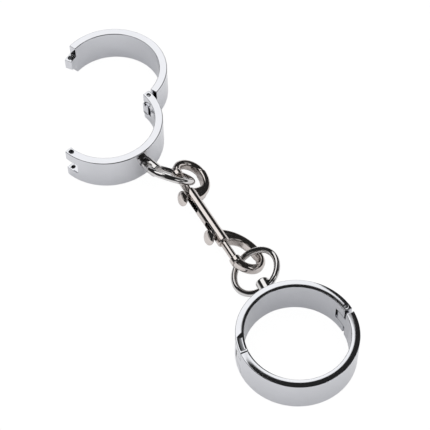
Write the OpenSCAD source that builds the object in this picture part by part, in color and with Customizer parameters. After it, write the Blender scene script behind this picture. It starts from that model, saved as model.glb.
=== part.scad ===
// Two hinged band cuffs joined by a double-ended bolt snap.
// The origin is on the table, at the middle of cuff A's bore. +Z is up, and +Y
// runs along cuff A's ring post towards cuff B. All sizes are in millimetres.

/* [Cuff band] */
// Inside diameter of a closed cuff
bore_d = 60; // [50:1:75]
// Thickness of the band's wall
band_t = 5; // [4.5:0.5:7]
// Height of the band
band_h = 22; // [19:0.5:30]
// Rounding along the band's four long edges
edge_r = 0.45; // [0.3:0.05:1.5]
// Angle that cuff B stands open at rest
open_angle = 80.6; // [30:0.2:100]

/* [Lap joints] */
// Angle round the band from the ring post to the hinge pin, and to the lock
pin_angle = 83.4; // [78:0.2:86]
// Height of the tongues
tongue_h = 7.6; // [5:0.2:10]
// Gap above and below a tongue in its slot
slot_gap = 0.2; // [0.1:0.05:0.5]
// How far the ears run past the hinge pin, and past the lock screw
ear_past = 2.8; // [2.4:0.1:4]
// Gap between the ears and the shoulder at the hinge
hinge_gap = 1.8; // [1.5:0.1:3]
// Gap between the ears and the shoulder at the closed lock
lock_gap = 0.2; // [0.1:0.05:0.5]
// Radius of the hinge tongue's round end, about the pin
tail_r = 4.2; // [3.5:0.1:5]
// Gap between that round end and the floor of its slot
floor_gap = 1.2; // [0.5:0.1:2]
// How far the lock tongue runs past its hole
tip_past = 3.2; // [2.5:0.1:4]
// Width of the shallow recess in the far ear's outer face
recess_w = 3.2; // [2.5:0.1:4]
// Length of that recess along the band
recess_l = 8.4; // [6:0.2:10]
// Land between that recess and the ear's end
recess_end = 1.5; // [1:0.1:3]
// Depth of that recess
recess_depth = 0.5; // [0.2:0.1:1]

/* [Pins and screws] */
// Diameter of the hinge pin
pin_d = 2.5; // [2:0.1:3.5]
// How far each end of the pin sits below the band's edge
pin_sunk = 0.5; // [0.2:0.1:1]
// Radial clearance of the pin in the tongue
pin_play = 0.06; // [0.02:0.01:0.1]
// Thread diameter of the lock screw
screw_d = 3; // [2.5:0.5:4]
// Length of the lock screw
screw_l = 6; // [4:0.5:8]
// How far the backed-out screw sits below the band's edge
screw_sunk = 0.7; // [0.3:0.1:1]
// Radial clearance of the screw in its ear
screw_play = 0.04; // [0.02:0.01:0.1]
// Radial clearance of the screw in the tongue
lock_play = 0.15; // [0.1:0.05:0.4]
// Width across flats of the screw's hexagon socket
socket_af = 1.5; // [1.2:0.1:2]
// Depth of the socket
socket_depth = 2; // [1:0.5:3]
// Diameter of the drilled seat in the far ear
seat_d = 2.5; // [2:0.1:3]
// Depth of that seat
seat_depth = 3.5; // [2:0.5:4.5]

/* [Ring posts] */
// Diameter of a ring post
post_d = 8.4; // [7.5:0.1:10]
// Length of a post outside the band
post_l = 10.3; // [9:0.1:14]
// Gap between the band and the post's shoulder
post_gap = 0.3; // [0.2:0.05:0.6]
// Rounding at the post's end
post_round = 1.3; // [0.5:0.1:2]
// Diameter of the neck that turns in the band
neck_d = 4; // [3:0.1:5]
// Diameter of the rivet head that holds the neck
head_d = 6; // [5:0.1:7]
// Thickness of the rivet head
head_t = 1.2; // [0.8:0.1:1.8]
// Clearance round the neck
neck_play = 0.06; // [0.03:0.01:0.1]
// Clearance round the rivet head
head_play = 0.15; // [0.1:0.05:0.3]
// How deep the rivet head's end sits below the bore
head_skin = 0.15; // [0.05:0.05:0.5]
// Distance from the band to the middle of the ring's hole
eye_out = 5.6; // [5:0.1:8]
// Radial clearance of the ring's wire in its hole
eye_play = 0.7; // [0.55:0.05:1.1]

/* [Rings] */
// Inside diameter of a ring
ring_id = 25; // [22:0.5:32]
// Diameter of the ring's wire
wire_d = 3.8; // [3:0.1:4]
// How far the wire's middle stands off the hole's axis
wire_off = 0.3; // [0.1:0.05:0.4]

/* [Bolt snap] */
// Diameter of the snap's barrel
barrel_d = 7.4; // [6.5:0.1:10]
// Length of the barrel
barrel_l = 44; // [40:1:50]
// Distance from the snap's middle to the middle of each hook's curve
hook_mid = 35.6; // [33:0.2:40]
// Radius of the hook's nose, to the middle of its section
nose_r = 8.9; // [8:0.1:11]
// Radius of the hook's arm, to the middle of its section
arm_r = 20.5; // [19.5:0.1:24]
// Thickness of the hook in its own plane
arm_t = 4.8; // [3.5:0.1:5.5]
// Depth of the hook across that plane
arm_depth = 6.4; // [5:0.1:8]
// Rounding of the hook's long edges
arm_round = 1.5; // [0.5:0.1:1.7]
// Diameter of the boss at the hook's tip
boss_d = 7; // [6.4:0.1:8.5]
// Length of the boss
boss_l = 3.8; // [3:0.1:6]
// Distance from the snap's middle to the boss's face
boss_at = 34.4; // [32:0.1:40]
// Depth of the cup that takes the bolt's tip
cup_depth = 1.6; // [1:0.1:2.5]

/* [Sliding bolts] */
// Diameter of a sliding bolt
bolt_d = 4.5; // [4:0.1:5]
// Radial clearance of the bolt in the barrel
bolt_play = 0.06; // [0.03:0.01:0.1]
// Gap between the bolt's tip and the bottom of its cup
tip_gap = 0.1; // [0.05:0.05:0.3]
// How far a bolt runs past its stud, towards the spring
bolt_past = 0.8; // [0.5:0.1:1.5]
// Wall left between a stud's slot and the barrel's end
slot_wall = 3; // [2:0.5:5]
// Distance from the snap's middle to a thumb knob
knob_at = 16.4; // [14:0.1:20]
// How far a bolt slides back
bolt_travel = 10; // [6:0.1:11]
// Diameter of a thumb knob's face
knob_d = 9.3; // [7:0.1:11]
// Thickness of a thumb knob
knob_t = 2; // [1.5:0.1:3]
// Height of the dome on a knob's face
knob_dome = 1.2; // [0.4:0.1:1.3]
// Rounding of a knob's back edge
knob_round = 0.3; // [0.1:0.05:0.4]
// Gap between the barrel and the knob
knob_gap = 3.7; // [2:0.1:6]
// Diameter of the knob's stud
stud_d = 3; // [2:0.1:3.4]
// Side clearance of the stud in its slot
stud_play = 0.15; // [0.1:0.05:0.3]
// Solid middle left between the two blind bores
bore_wall = 2; // [1:0.5:4]
// Diameter of the spring's wire
spring_wire = 0.4; // [0.3:0.05:0.5]
// Turns of a spring
spring_turns = 6; // [4:1:8]

/* [Pose at rest] */
// Turn of cuff A's post about its own axis
turn_a = -28.8; // [-40:0.2:0]
// Turn of cuff B's post about its own axis
turn_b = -45; // [-60:0.2:-30]
// Lean of ring A in the play of its hole
lean_a = 3.6; // [-4:0.1:4]
// Lean of ring B in the play of its hole
lean_b = -2; // [-4:0.1:4]
// Place on ring A's wire that the snap hangs from, from the ring's far side
walk_a = 6; // [0:0.5:15]
// Place on ring B's wire that the snap hangs from, from the ring's far side
walk_b = -50; // [-60:0.5:-30]
// Heading of the snap, from +X
snap_heading = -85.8; // [-95:0.2:-80]
// Tilt of the hooks down to the table
snap_tilt = 27.2; // [10:0.5:35]
// Heading of cuff B's ring post, from +X
post_b_heading = -70.4; // [-85:0.2:-55]
// Where ring A crosses its hook: how far from the curve's middle towards the barrel
inward_a = 2.9; // [0:0.1:4]
// and the gap from there out to the hook's arm
below_a = 2.2; // [1:0.1:4]
// Where ring B crosses its hook: how far from the curve's middle towards the barrel
inward_b = 4.9; // [2:0.1:6]
// and the gap from there in to the bolt
above_b = 3.35; // [2:0.05:5]

/* [Hidden] */

$fn = 96;
chrome = "#d9dbe0";
ring_steel = "#c9ccd2";
nickel = "#b8b1a6";
spring_steel = "#8d9096";
eps = 0.01;
// how far a cutting shape runs past what it cuts
over = 1;

// band
bore_r = bore_d / 2;
outer_r = bore_r + band_t;
mid_r = bore_r + band_t / 2;
slot_h = tongue_h + 2 * slot_gap;
top_z = band_h / 2;

// angles of the lap joints, from the ring post
function along(length) = asin(length / mid_r);
ear_end = pin_angle + along(ear_past);
hinge_shoulder = pin_angle + along(ear_past + hinge_gap);
lock_shoulder = pin_angle + along(ear_past + lock_gap);
slot_floor = pin_angle - along(tail_r + floor_gap);
tongue_tip = pin_angle - along(tip_past);
// spare angle that takes a cut clear of the ears' ends
past_end = 4;
// direction of the post in a cuff's own frame
post_dir = 90;
hinge_dir = post_dir + pin_angle;
lock_dir = post_dir - pin_angle;

// posts and rings
ring_r = (ring_id + wire_d) / 2;
eye_d = wire_d + 2 * eye_play;
eye_r = outer_r + eye_out;
ring_reach = ring_r - wire_off;
post_base = outer_r + post_gap;
post_end = post_base + post_l;
// flat bottom of the rivet head's recess, just inside the bore
head_low = bore_r + head_skin;

// snap, in its own frame: X along the barrel, Y towards the hooks' bulge
arm_top = 2 * nose_r;
arm_mid_y = arm_top - arm_r;
crotch = barrel_l / 2;
// the nose takes in the arm's end: how much thicker it is, and how far it laps
nose_swell = 0.1;
nose_lap = 1.5;
boss_end = boss_at + boss_l;
bolt_tip = boss_at + cup_depth - tip_gap;
stud_r = stud_d / 2;
bolt_tail = knob_at - stud_r - bolt_past;
slot_in = knob_at - bolt_travel - stud_r - stud_play;
slot_out = crotch - slot_wall;
snap_lift = (arm_top + arm_t / 2 - arm_round) * sin(snap_tilt)
    + (arm_depth / 2 - arm_round) * cos(snap_tilt) + arm_round + nose_swell;

// turns of a vector about each axis
function spin_x(v, a) = [v.x, v.y * cos(a) - v.z * sin(a), v.y * sin(a) + v.z * cos(a)];
function spin_y(v, a) = [v.x * cos(a) + v.z * sin(a), v.y, v.z * cos(a) - v.x * sin(a)];
function spin_z(v, a) = [v.x * cos(a) - v.y * sin(a), v.x * sin(a) + v.y * cos(a), v.z];
function in_snap(v) = spin_z(spin_x(v, -snap_tilt), snap_heading);
// a point on the middle of a ring's wire, in the frame of its hole
function on_ring(walk, lean) =
    spin_z([ring_r * sin(walk), ring_reach + ring_r * cos(walk), 0], lean);
// the swing that brings point p of a turned ring to height z
function swing_to(p, turn, z) = asin((z + p.x * sin(turn)) / (p.y * cos(turn)));
function ring_place(p, turn, swing) = [0, eye_r, 0] + spin_y(spin_x(p, swing), turn);

// the two cuffs lie on the table, the snap leans on it, and each ring's swing
// is the one that passes its wire through the hook that it carries
hook_a = [hook_mid - inward_a, arm_top - arm_t / 2 - below_a - wire_d / 2, 0];
hook_b = [inward_b - hook_mid, bolt_d / 2 + above_b + wire_d / 2, 0];
snap_z = snap_lift - top_z;
swing_a = swing_to(on_ring(walk_a, lean_a), turn_a, snap_z + in_snap(hook_a).z);
swing_b = swing_to(on_ring(walk_b, lean_b), turn_b, snap_z + in_snap(hook_b).z);
snap_at = ring_place(on_ring(walk_a, lean_a), turn_a, swing_a) - in_snap(hook_a);
cuff_b_turn = post_b_heading - post_dir;
cuff_b_at = snap_at + in_snap(hook_b)
    - spin_z(ring_place(on_ring(walk_b, lean_b), turn_b, swing_b), cuff_b_turn);

// ---------------------------------------------------------------- placing

// cuff A lies the other way up, so its hinge is on the right of its post
module at_cuff_a() on_table() rotate([0, 180, 0]) children();

module at_cuff_b() {
    on_table() translate([cuff_b_at.x, cuff_b_at.y, 0]) rotate([0, 0, cuff_b_turn]) children();
}

// the pieces are drawn about the middle of the band's height
module on_table() translate([0, 0, top_z]) children();

// swings a tongue half out about the hinge pin
module swung_out(angle) {
    pin = [mid_r * cos(hinge_dir), mid_r * sin(hinge_dir), 0];
    translate(pin) rotate([0, 0, angle]) translate(-pin) children();
}

module in_post(turn) rotate([0, turn, 0]) children();

module in_eye(turn, swing, lean) {
    in_post(turn) translate([0, eye_r, 0]) rotate([swing, 0, 0]) rotate([0, 0, lean])
        translate([0, ring_reach, 0]) children();
}

module at_snap() on_table() translate(snap_at) rotate([-snap_tilt, 0, snap_heading]) children();

// the snap's second end is a mirror image of its first
module snap_end(second) {
    if (second) mirror([1, 0, 0]) children();
    else children();
}

// ----------------------------------------------------------------- shapes

// rectangle from (x0, y0) to (x1, y1) with round corners
module round_rect(x0, y0, x1, y1, r) {
    translate([x0 + r, y0]) square([x1 - x0 - 2 * r, y1 - y0]);
    translate([x0, y0 + r]) square([x1 - x0, y1 - y0 - 2 * r]);
    for (x = [x0 + r, x1 - r], y = [y0 + r, y1 - r]) translate([x, y]) circle(r);
}

// part of the band from one angle to another
module band(from, to) {
    rotate([0, 0, from]) rotate_extrude(angle = to - from)
        round_rect(bore_r, -top_z, outer_r, top_z, edge_r);
}

// square-edged part of the band, grown by `grow` each way across the wall
module strip(from, to, height, grow = 0) {
    rotate([0, 0, from]) rotate_extrude(angle = to - from)
        translate([bore_r - grow, -height / 2]) square([band_t + 2 * grow, height]);
}

// upright hole at the pin circle
module drilled(dir, d, z0, z1) {
    rotate([0, 0, dir]) translate([mid_r, 0, z0]) cylinder(d = d, h = z1 - z0);
}

// ------------------------------------------------------------------ cuffs

module fork_half() {
    difference() {
        band(post_dir - ear_end, post_dir + ear_end);
        strip(post_dir + slot_floor, post_dir + ear_end + past_end, slot_h, over);
        strip(post_dir - ear_end - past_end, post_dir - slot_floor, slot_h, over);
        drilled(hinge_dir, pin_d, -top_z - over, top_z + over);
        drilled(lock_dir, screw_d + 2 * screw_play, slot_h / 2 - over, top_z + over);
        drilled(lock_dir, seat_d, -slot_h / 2 - seat_depth, -slot_h / 2 + over);
        ear_recess();
        rotate([-90, 0, 0]) cylinder(d = neck_d + 2 * neck_play, h = outer_r + over);
        rotate([-90, 0, 0]) cylinder(d = head_d + 2 * head_play, h = head_low + head_t + head_play);
    }
}

// shallow recess in the outer face of the far ear, over the screw's seat
module ear_recess() {
    rotate([0, 0, post_dir - ear_end + along(recess_end)]) rotate_extrude(angle = along(recess_l))
        translate([mid_r - recess_w / 2, -top_z - over]) square([recess_w, over + recess_depth]);
}

module tongue_half() {
    difference() {
        band(post_dir + slot_floor, post_dir + 360 - tongue_tip);
        ear_room(post_dir + slot_floor - past_end, post_dir + hinge_shoulder);
        ear_room(post_dir - lock_shoulder, post_dir - tongue_tip + past_end);
        tail_cut();
        drilled(hinge_dir, pin_d + 2 * pin_play, -tongue_h, tongue_h);
        drilled(lock_dir, screw_d + 2 * lock_play, -tongue_h, tongue_h);
    }
}

// takes the band away above and below a tongue
module ear_room(from, to) {
    room = top_z + over - tongue_h / 2;
    for (side = [-1, 1]) translate([0, 0, side * (tongue_h + room) / 2]) strip(from, to, room, over);
}

// leaves the hinge tongue's end round about the pin
module tail_cut() {
    difference() {
        strip(post_dir + slot_floor - past_end, post_dir + pin_angle, tongue_h + 2 * over, over);
        drilled(hinge_dir, 2 * tail_r, -tongue_h, tongue_h);
    }
}

module hinge_pin() drilled(hinge_dir, pin_d, -top_z + pin_sunk, top_z - pin_sunk);

// hexagon-socket grub screw, backed out so that the tongue can pass
module lock_screw() {
    point = screw_d / 6;
    z1 = top_z - screw_sunk;
    z0 = z1 - screw_l;
    rotate([0, 0, lock_dir]) translate([mid_r, 0, 0]) difference() {
        union() {
            translate([0, 0, z0 + point]) cylinder(d = screw_d, h = screw_l - point);
            translate([0, 0, z0]) cylinder(d1 = screw_d - 2 * point, d2 = screw_d, h = point);
        }
        translate([0, 0, z1 - socket_depth])
            cylinder(d = socket_af / cos(30), h = socket_depth + over, $fn = 6);
    }
}

// ------------------------------------------------------- posts and rings

// swivelling post: neck and rivet head in the band, and a cross hole for the ring
module ring_post() {
    difference() {
        rotate([-90, 0, 0]) rotate_extrude() {
            translate([0, head_low]) square([head_d / 2, head_t]);
            translate([0, head_low]) square([neck_d / 2, post_base - head_low + over]);
            translate([0, post_base]) square([post_d / 2, post_l - post_round]);
            translate([0, post_base]) square([post_d / 2 - post_round, post_l]);
            translate([post_d / 2 - post_round, post_end - post_round]) circle(post_round);
        }
        translate([-post_d, eye_r, 0]) rotate([0, 90, 0]) cylinder(d = eye_d, h = 2 * post_d);
    }
}

module ring() rotate_extrude() translate([ring_r, 0]) circle(d = wire_d);

// ------------------------------------------------------------------- snap

// cross-section of the hook, x measured from the curve's centre
module hook_section(r, swell = 0) {
    across = arm_t / 2 + swell;
    deep = arm_depth / 2 + swell;
    round_rect(r - across, -deep, r + across, deep, arm_round + swell);
}

// where the arm's middle line reaches the barrel's middle line
arm_root = 90 + acos(-arm_mid_y / arm_r);
// angle at which the nose runs into the boss
nose_end = -80;

module hook() {
    // arm
    translate([hook_mid, arm_mid_y, 0]) rotate([0, 0, 90])
        rotate_extrude(angle = arm_root - 90) hook_section(arm_r);
    // nose
    translate([hook_mid, nose_r, 0]) rotate([0, 0, nose_end])
        rotate_extrude(angle = 90 + nose_lap - nose_end) hook_section(nose_r, nose_swell);
    // tip with its cup
    translate([boss_at, 0, 0]) rotate([0, 90, 0]) cylinder(d = boss_d, h = boss_l);
    // web between the arm and the barrel
    translate([0, 0, -barrel_d / 2 + arm_round / 2]) linear_extrude(barrel_d - arm_round)
        intersection() {
            translate([hook_mid, arm_mid_y]) circle(arm_r);
            translate([hook_mid - arm_r, 0]) square([crotch - hook_mid + arm_r, arm_top]);
        }
}

// everything drilled or milled out for one bolt
module bolt_way() {
    rotate([0, 90, 0]) translate([0, 0, bore_wall / 2])
        cylinder(d = bolt_d + 2 * bolt_play, h = boss_at + cup_depth - bore_wall / 2);
    translate([slot_in + stud_r, 0, 0]) rotate([90, 0, 0])
        cylinder(r = stud_r + stud_play, h = barrel_d);
    translate([slot_out - stud_r, 0, 0]) rotate([90, 0, 0])
        cylinder(r = stud_r + stud_play, h = barrel_d);
    translate([slot_in + stud_r, -barrel_d, -stud_r - stud_play])
        cube([slot_out - slot_in - stud_d, barrel_d, stud_d + 2 * stud_play]);
}

module snap_body() {
    difference() {
        union() {
            rotate([0, 90, 0]) translate([0, 0, -crotch]) cylinder(d = barrel_d, h = barrel_l);
            for (second = [false, true]) snap_end(second) hook();
        }
        for (second = [false, true]) snap_end(second) bolt_way();
    }
}

// bolt with a chamfered tip and a cross hole for the stud
module snap_bolt() {
    chamfer = bolt_d / 9;
    difference() {
        rotate([0, 90, 0]) {
            translate([0, 0, bolt_tail]) cylinder(d = bolt_d, h = bolt_tip - chamfer - bolt_tail);
            translate([0, 0, bolt_tip - chamfer])
                cylinder(d1 = bolt_d, d2 = bolt_d - 2 * chamfer, h = chamfer);
        }
        translate([knob_at, 0, 0]) rotate([90, 0, 0]) cylinder(d = stud_d, h = bolt_d);
    }
}

// domed thumb knob with the stud that is riveted into the bolt
module snap_knob() {
    face = barrel_d / 2 + knob_gap;
    knob_r = knob_d / 2;
    dome_r = (knob_dome ^ 2 + knob_r ^ 2) / (2 * knob_dome);
    translate([knob_at, 0, 0]) rotate([90, 0, 0]) {
        cylinder(d = stud_d, h = face + eps);
        translate([0, 0, face]) rotate_extrude() intersection() {
            union() {
                square([knob_r - knob_round, knob_t]);
                translate([0, knob_round]) square([knob_r, knob_t]);
                translate([knob_r - knob_round, knob_round]) circle(knob_round);
            }
            translate([0, knob_t - dome_r]) circle(dome_r);
        }
    }
}

// compression spring between the bore's end and the bolt's tail
module snap_spring() {
    sides = 6;
    steps = 14;
    wire_r = spring_wire / 2;
    coil_r = bolt_d / 2 - spring_wire;
    low = bore_wall / 2 + wire_r + 2 * tip_gap;
    high = bolt_tail - wire_r - 2 * tip_gap;
    count = spring_turns * steps;
    points = [for (i = [0 : count], k = [0 : sides - 1])
        let (turn = i * 360 / steps, side = k * 360 / sides, r = coil_r + wire_r * cos(side))
        [low + (high - low) * i / count + wire_r * sin(side), r * cos(turn), r * sin(turn)]];
    walls = [for (i = [0 : count - 1], k = [0 : sides - 1])
        let (next = (k + 1) % sides)
        [i * sides + k, i * sides + next, (i + 1) * sides + next, (i + 1) * sides + k]];
    ends = [[for (k = [sides - 1 : -1 : 0]) k], [for (k = [0 : sides - 1]) count * sides + k]];
    polyhedron(points, concat(walls, ends));
}

// ------------------------------------------------------------------ nodes

color(chrome) at_cuff_a() fork_half();  // cuff_a_fork_half
color(chrome) at_cuff_a() tongue_half();  // cuff_a_tongue_half
color(spring_steel) at_cuff_a() hinge_pin();  // cuff_a_hinge_pin
color(spring_steel) at_cuff_a() lock_screw();  // cuff_a_lock_screw
color(chrome) on_table() in_post(turn_a) ring_post();  // cuff_a_ring_post
color(ring_steel) on_table() in_eye(turn_a, swing_a, lean_a) ring();  // cuff_a_ring

color(chrome) at_cuff_b() fork_half();  // cuff_b_fork_half
color(chrome) at_cuff_b() swung_out(-open_angle) tongue_half();  // cuff_b_tongue_half
color(spring_steel) at_cuff_b() hinge_pin();  // cuff_b_hinge_pin
color(spring_steel) at_cuff_b() lock_screw();  // cuff_b_lock_screw
color(chrome) at_cuff_b() in_post(turn_b) ring_post();  // cuff_b_ring_post
color(ring_steel) at_cuff_b() in_eye(turn_b, swing_b, lean_b) ring();  // cuff_b_ring

color(nickel) at_snap() snap_body();
color(nickel) at_snap() snap_end(false) snap_bolt();  // snap_bolt_a
color(nickel) at_snap() snap_end(true) snap_bolt();  // snap_bolt_b
color(nickel) at_snap() snap_end(false) snap_knob();  // snap_knob_a
color(nickel) at_snap() snap_end(true) snap_knob();  // snap_knob_b
color(spring_steel) at_snap() snap_end(false) snap_spring();  // snap_spring_a
color(spring_steel) at_snap() snap_end(true) snap_spring();  // snap_spring_b
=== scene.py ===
"""Handcuffs: two hinged band cuffs joined by a double-ended bolt snap.

Laid out as an add-on and run as a script. Each operator makes one piece or one
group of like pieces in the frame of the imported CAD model, in metres.
"""

import math
from types import SimpleNamespace

import bmesh
import bpy
from bpy.props import FloatProperty, FloatVectorProperty, PointerProperty
from bpy.types import Operator, Panel, PropertyGroup
from mathutils import Matrix, Vector
from mathutils.bvhtree import BVHTree


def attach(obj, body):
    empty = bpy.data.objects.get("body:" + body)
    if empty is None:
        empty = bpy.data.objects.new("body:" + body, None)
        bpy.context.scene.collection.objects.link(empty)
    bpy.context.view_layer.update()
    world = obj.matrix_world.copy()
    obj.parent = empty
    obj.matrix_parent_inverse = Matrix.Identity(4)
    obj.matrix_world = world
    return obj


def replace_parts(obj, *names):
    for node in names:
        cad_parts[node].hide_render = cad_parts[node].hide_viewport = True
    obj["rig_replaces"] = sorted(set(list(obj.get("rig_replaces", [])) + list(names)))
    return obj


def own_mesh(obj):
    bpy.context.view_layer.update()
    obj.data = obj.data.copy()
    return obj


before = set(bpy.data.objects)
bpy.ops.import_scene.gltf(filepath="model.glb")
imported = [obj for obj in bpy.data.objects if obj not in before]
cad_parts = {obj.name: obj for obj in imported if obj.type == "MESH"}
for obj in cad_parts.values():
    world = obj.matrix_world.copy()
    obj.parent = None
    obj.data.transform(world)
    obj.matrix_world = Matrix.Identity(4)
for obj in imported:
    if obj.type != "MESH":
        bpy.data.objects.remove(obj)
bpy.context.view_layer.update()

bl_info = {
    "name": "Handcuffs",
    "version": (1, 0, 0),
    "blender": (4, 5, 0),
    "location": "View3D > Sidebar > Handcuffs",
    "description": "Band cuffs, rings and bolt snap",
    "category": "Object",
}

MM = 0.001


# ------------------------------------------------------------ sizes and colours

def length(name, description, millimetres):
    """A length property, in metres, whose default is given in millimetres."""
    return FloatProperty(name=name, description=description, default=millimetres * MM,
                         unit="LENGTH", precision=5)


def angle(name, description, degrees):
    """An angle property, in radians, whose default is given in degrees."""
    return FloatProperty(name=name, description=description, default=math.radians(degrees),
                         subtype="ANGLE")


def linear(hex_colour):
    """The linear RGB of an sRGB hex colour."""
    parts = [int(hex_colour[i:i + 2], 16) / 255 for i in (1, 3, 5)]
    return [p / 12.92 if p <= 0.04045 else ((p + 0.055) / 1.055) ** 2.4 for p in parts]


def colour(name, description, hex_colour):
    """A colour property whose default is an sRGB hex colour."""
    return FloatVectorProperty(name=name, description=description, subtype="COLOR",
                               size=3, min=0, max=1, default=linear(hex_colour))


class CuffSizes(PropertyGroup):
    """Sizes of the two cuffs, which are alike."""
    bore_d: length("Bore", "Inside diameter of a closed cuff", 60)
    band_t: length("Band thickness", "Thickness of the band's wall", 5)
    band_h: length("Band height", "Height of the band", 22)
    edge_r: length("Edge rounding", "Rounding along the band's four long edges", 0.45)
    crown: length("Crown", "How far the top falls from its middle to its rounded edges", 0.065)
    short_edge: length("Short edge", "Width of the broken edges at the ears and tongues", 0.24)
    pin_angle: angle("Pin angle", "Angle from the ring post to each pin", 83.4)
    tongue_h: length("Tongue height", "Height of the tongues", 7.6)
    slot_gap: length("Slot gap", "Gap above and below a tongue", 0.2)
    ear_past: length("Ear past pin", "How far the ears run past the pin", 2.8)
    hinge_gap: length("Hinge gap", "Gap between ears and shoulder at the hinge", 1.8)
    lock_gap: length("Lock gap", "Gap between ears and shoulder at the lock", 0.2)
    tail_r: length("Tail radius", "Radius of the hinge tongue's round end", 4.2)
    floor_gap: length("Floor gap", "Gap behind the hinge tongue's round end", 1.2)
    tip_past: length("Tip past hole", "How far the lock tongue runs past its hole", 3.2)
    recess_w: length("Recess width", "Width of the recess in the far ear's outer face", 3.2)
    recess_l: length("Recess length", "Length of that recess along the band", 8.4)
    recess_end: length("Recess end", "Land between that recess and the ear's end", 1.5)
    recess_depth: length("Recess depth", "Depth of that recess", 0.5)
    polish_l: length("Polished length", "How far the far ear's face is polished to a slope", 13)
    polish_angle: angle("Polished slope", "Slope of that face down to the bore", 3.2)
    open_angle: angle("Open angle", "Angle that the second cuff stands open", 80.6)
    pin_d: length("Pin", "Diameter of the hinge pin", 2.5)
    pin_sunk: length("Pin sunk", "How far the pin's ends sit below the edge", 0.5)
    screw_d: length("Screw", "Thread diameter of the lock screw", 3)
    screw_l: length("Screw length", "Length of the lock screw", 6)
    screw_sunk: length("Screw sunk", "How far the screw sits below the edge", 0.7)
    pin_play: length("Pin play", "Radial clearance of the pin in the tongue", 0.06)
    screw_play: length("Screw play", "Radial clearance of the screw in its ear", 0.04)
    lock_play: length("Lock play", "Radial clearance of the screw in the tongue", 0.15)
    hole_rim: length("Hole rim", "Half the broken edge round a drilled hole", 0.12)
    socket_af: length("Socket", "Width across flats of the socket", 1.5)
    socket_depth: length("Socket depth", "Depth of the socket", 2)
    seat_d: length("Seat", "Diameter of the screw's seat in the far ear", 2.5)
    seat_depth: length("Seat depth", "Depth of that seat", 3.5)


class LinkSizes(PropertyGroup):
    """Sizes of the ring posts and rings."""
    post_d: length("Post", "Diameter of a ring post", 8.4)
    post_l: length("Post length", "Length of a post outside the band", 10.3)
    post_gap: length("Post gap", "Gap between the band and the post's shoulder", 0.3)
    post_round: length("Post rounding", "Rounding at the post's end", 1.3)
    neck_d: length("Neck", "Diameter of the neck in the band", 4)
    head_d: length("Rivet head", "Diameter of the rivet head", 6)
    head_t: length("Head thickness", "Thickness of the rivet head", 1.2)
    head_skin: length("Head skin", "From the bore to the rivet head", 0.15)
    neck_play: length("Neck play", "Radial clearance of the neck in the band", 0.06)
    head_play: length("Head play", "Clearance round the rivet head", 0.15)
    eye_out: length("Eye distance", "From the band to the middle of the eye", 5.6)
    eye_play: length("Eye play", "Radial clearance of the ring's wire in its hole", 0.7)
    ring_id: length("Ring", "Inside diameter of a ring", 25)
    wire_d: length("Wire", "Diameter of the ring's wire", 3.8)
    wire_off: length("Wire offset", "How far the wire stands off the eye's axis", 0.3)


class SnapSizes(PropertyGroup):
    """Sizes of the bolt snap."""
    barrel_d: length("Barrel", "Diameter of the barrel", 7.4)
    barrel_l: length("Barrel length", "Length of the barrel", 44)
    hook_mid: length("Hook middle", "From the snap's middle to a hook's middle", 35.6)
    nose_r: length("Nose radius", "Radius of the hook's nose", 8.9)
    arm_r: length("Arm radius", "Radius of the hook's arm", 20.5)
    arm_t: length("Arm thickness", "Thickness of the hook in its own plane", 4.8)
    arm_depth: length("Arm depth", "Depth of the hook across that plane", 6.4)
    arm_round: length("Arm rounding", "Rounding of the hook's long edges", 1.5)
    boss_d: length("Boss", "Diameter of the boss at the hook's tip", 7)
    boss_l: length("Boss length", "Length of the boss", 3.8)
    boss_at: length("Boss distance", "From the snap's middle to the boss's face", 34.4)
    cup_depth: length("Cup", "Depth of the cup for the bolt's tip", 1.6)
    bolt_d: length("Bolt", "Diameter of a sliding bolt", 4.5)
    bolt_play: length("Bolt play", "Radial clearance of the bolt", 0.06)
    knob_at: length("Knob distance", "From the snap's middle to a knob", 16.4)
    bolt_travel: length("Travel", "How far a bolt slides back", 10)
    knob_d: length("Knob", "Diameter of a thumb knob", 9.3)
    knob_t: length("Knob thickness", "Thickness of a thumb knob", 2)
    knob_dome: length("Knob dome", "Height of the dome on a knob's face", 1.2)
    knob_round: length("Knob rounding", "Rounding of a knob's back edge", 0.3)
    knob_gap: length("Knob gap", "Gap between the barrel and the knob", 3.7)
    stud_d: length("Stud", "Diameter of the knob's stud", 3)
    bore_wall: length("Bore wall", "Solid middle between the two blind bores", 2)
    tip_gap: length("Tip gap", "Gap between a bolt and what it meets", 0.1)
    bolt_past: length("Bolt past stud", "How far a bolt runs past its stud", 0.8)
    stud_play: length("Stud play", "Side clearance of the stud in its slot", 0.15)
    slot_wall: length("Slot wall", "Solid barrel between a slot and the hook", 3)
    inward_a: length("Inward A", "From hook A's middle in to where its ring hangs", 2.9)
    below_a: length("Below A", "From the arm down to ring A's wire", 2.2)
    inward_b: length("Inward B", "From hook B's middle in to where its ring hangs", 4.9)
    above_b: length("Above B", "From the bolt up to ring B's wire", 3.35)


class Finish(PropertyGroup):
    """Colours of the finishes."""
    cuff: colour("Cuff chrome", "Chrome plate on the cuffs", "#d2d3d7")
    wire: colour("Ring chrome", "Chrome plate on the rings and posts", "#d6d4d3")
    snap: colour("Snap nickel", "Nickel plate on the snap", "#d3ccc8")
    steel: colour("Turned steel", "Bare steel of pins, screws and springs", "#9b9da0")
    paper: colour("Paper", "Paper under the object", "#f7f7f8")


# ------------------------------------------------------------------- placement

def move(x=0.0, y=0.0, z=0.0):
    """A shift along X, Y and Z."""
    return Matrix.Translation((x, y, z))


def turn(radians, axis):
    """A turn about one of the axes through the origin."""
    return Matrix.Rotation(radians, 4, axis)


def about(point, matrix):
    """The same turn, about another point."""
    return Matrix.Translation(point) @ matrix @ Matrix.Translation(-point)


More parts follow.
